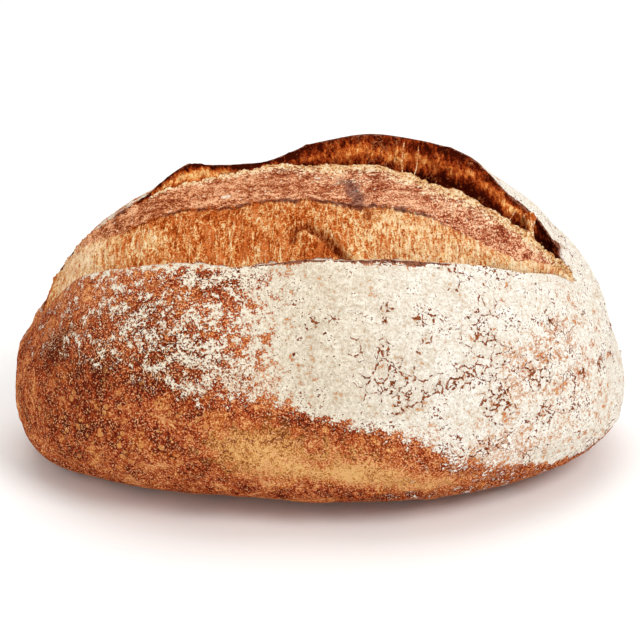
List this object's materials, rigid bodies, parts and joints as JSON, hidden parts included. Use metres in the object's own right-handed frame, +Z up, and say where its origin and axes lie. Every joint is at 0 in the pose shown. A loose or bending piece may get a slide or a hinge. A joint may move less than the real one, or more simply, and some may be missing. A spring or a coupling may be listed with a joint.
{
  "type": "sourdough loaf",
  "caption": "Oval sourdough loaf with a floured brown crust, torn open along one long slash under a lifted, dark-edged ear.",
  "frame": {"origin": "middle of the loaf's bounding box on the surface it stands on", "axes": "+X along the loaf towards the end where the ear stands highest, +Y from the front seen in the picture to the back, +Z up"},
  "size_m": [0.263, 0.1746, 0.1314],
  "materials": {
    "crust": "baked bread crust, dry and matt, floured on its upper half"
  },
  "bodies": {
    "root": {"loaf": "crust"}
  },
  "joints": []
}
